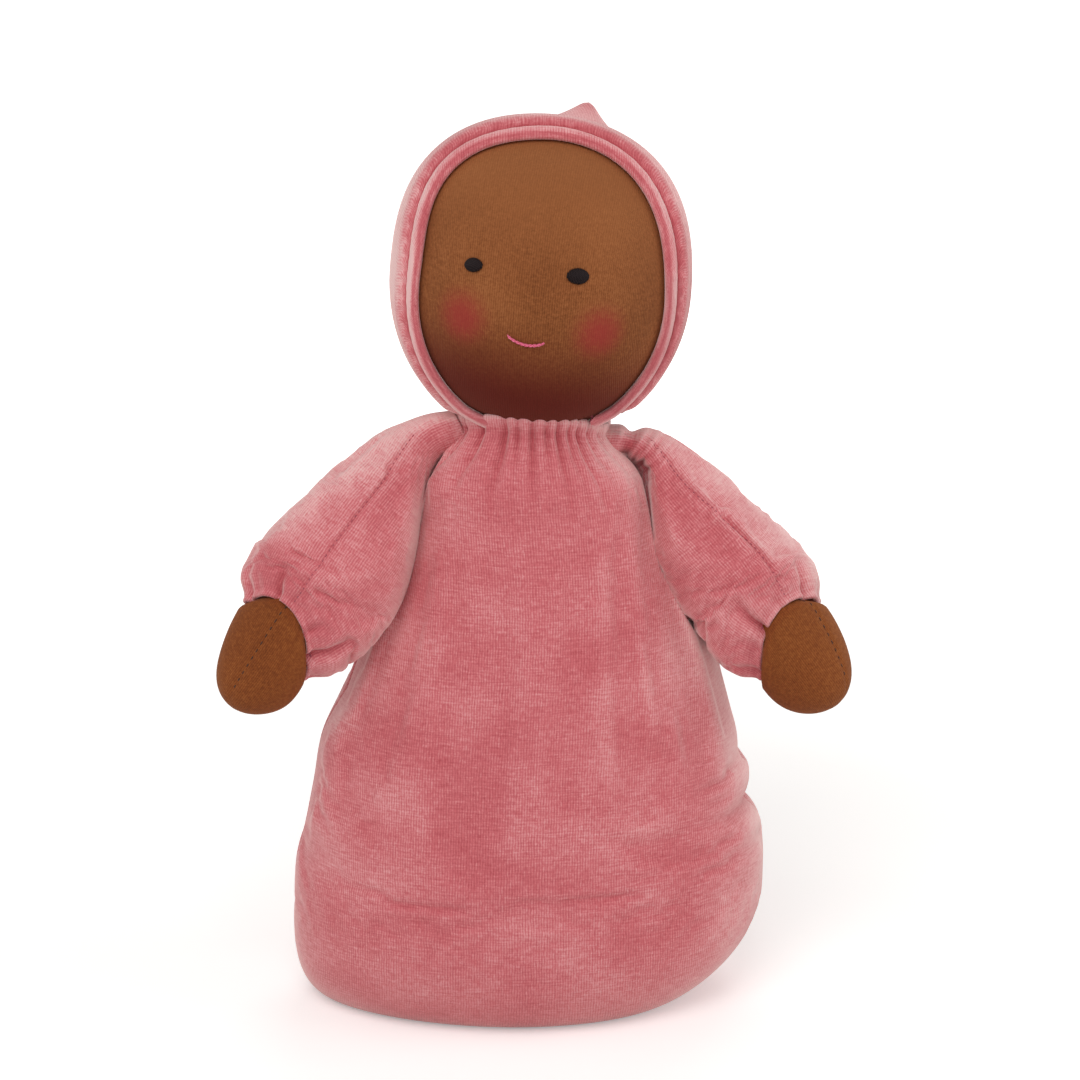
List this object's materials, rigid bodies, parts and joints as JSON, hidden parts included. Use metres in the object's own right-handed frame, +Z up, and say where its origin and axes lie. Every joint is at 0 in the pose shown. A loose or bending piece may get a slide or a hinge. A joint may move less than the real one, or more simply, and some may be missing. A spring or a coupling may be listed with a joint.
{
  "type": "waldorf doll",
  "caption": "Hand-sewn cuddle doll with a round jersey head in a pointed velour hood, a gathered velour sack body, stuffed sleeves and egg-shaped hands.",
  "frame": {"origin": "centre of the flat base that the doll sits on", "axes": "+Z up; the doll looks along -Y; +X is the doll's own left"},
  "size_m": [0.225, 0.1, 0.304],
  "materials": {
    "pink_velour": "matte",
    "brown_jersey": "matte",
    "seam_thread": "matte",
    "eye_silk": "satin",
    "mouth_silk": "satin",
    "wool": "matte",
    "gauze": "matte",
    "linen": "matte",
    "grain": "satin"
  },
  "bodies": {
    "torso": {"body_front_panel": "pink_velour", "body_back_panel": "pink_velour", "neckline_gather_thread": "seam_thread", "torso_wool_filling": "wool", "base_weight_pouch": "linen", "base_weight_grain": "grain"},
    "neck": {"neck_stub": "wool"},
    "neck_tie": {"neck_tie_thread": "linen"},
    "head": {"head_wool_core": "wool", "head_gauze_tube": "gauze", "head_skin": "brown_jersey", "eye_right": "eye_silk", "eye_left": "eye_silk", "mouth_stitch": "mouth_silk", "hood_shell": "pink_velour", "hood_hem": "pink_velour"},
    "right_shoulder": {"right_shoulder_tuck": "pink_velour"},
    "right_arm": {"right_sleeve": "pink_velour", "right_sleeve_filling": "wool", "right_cuff_thread": "seam_thread"},
    "right_hand": {"right_hand_skin": "brown_jersey", "right_hand_filling": "wool"},
    "left_shoulder": {"left_shoulder_tuck": "pink_velour"},
    "left_arm": {"left_sleeve": "pink_velour", "left_sleeve_filling": "wool", "left_cuff_thread": "seam_thread"},
    "left_hand": {"left_hand_skin": "brown_jersey", "left_hand_filling": "wool"}
  },
  "joints": [
    {"name": "head_turn", "type": "hinge", "parent": "torso", "child": "neck", "pos_m": [0, 0, 0.2035], "axis": [0, 0, 1], "range_deg": [-34, 56], "stiffness_Nm_per_rad": 0.15},
    {"name": "head_nod", "type": "hinge", "parent": "neck", "child": "neck_tie", "pos_m": [0, 0, 0.2035], "axis": [1, 0, 0], "range_deg": [-8, 8], "stiffness_Nm_per_rad": 0.8},
    {"name": "head_tilt", "type": "hinge", "parent": "neck_tie", "child": "head", "pos_m": [0, 0, 0.2035], "axis": [0, 1, 0], "range_deg": [-8, 8], "stiffness_Nm_per_rad": 0.8},
    {"name": "right_arm_swing", "type": "hinge", "parent": "torso", "child": "right_shoulder", "pos_m": [-0.03707, -0.002, 0.1955], "axis": [-1, 0, 0], "range_deg": [-40, 95], "stiffness_Nm_per_rad": 0.12},
    {"name": "right_arm_lift", "type": "hinge", "parent": "right_shoulder", "child": "right_arm", "pos_m": [-0.03707, -0.002, 0.1955], "axis": [0, 1, 0], "range_deg": [0, 58], "stiffness_Nm_per_rad": 0.08},
    {"name": "right_hand_bend", "type": "hinge", "parent": "right_arm", "child": "right_hand", "pos_m": [-0.09069, -0.02106, 0.12904], "axis": [0, 0.9613, -0.2756], "range_deg": [-15, 15], "stiffness_Nm_per_rad": 0.03},
    {"name": "left_arm_swing", "type": "hinge", "parent": "torso", "child": "left_shoulder", "pos_m": [0.03707, -0.002, 0.1955], "axis": [-1, 0, 0], "range_deg": [-40, 95], "stiffness_Nm_per_rad": 0.12},
    {"name": "left_arm_lift", "type": "hinge", "parent": "left_shoulder", "child": "left_arm", "pos_m": [0.03707, -0.002, 0.1955], "axis": [0, -1, 0], "range_deg": [0, 58], "stiffness_Nm_per_rad": 0.08},
    {"name": "left_hand_bend", "type": "hinge", "parent": "left_arm", "child": "left_hand", "pos_m": [0.09069, -0.02106, 0.12904], "axis": [0, -0.9613, 0.2756], "range_deg": [-15, 15], "stiffness_Nm_per_rad": 0.03}
  ]
}
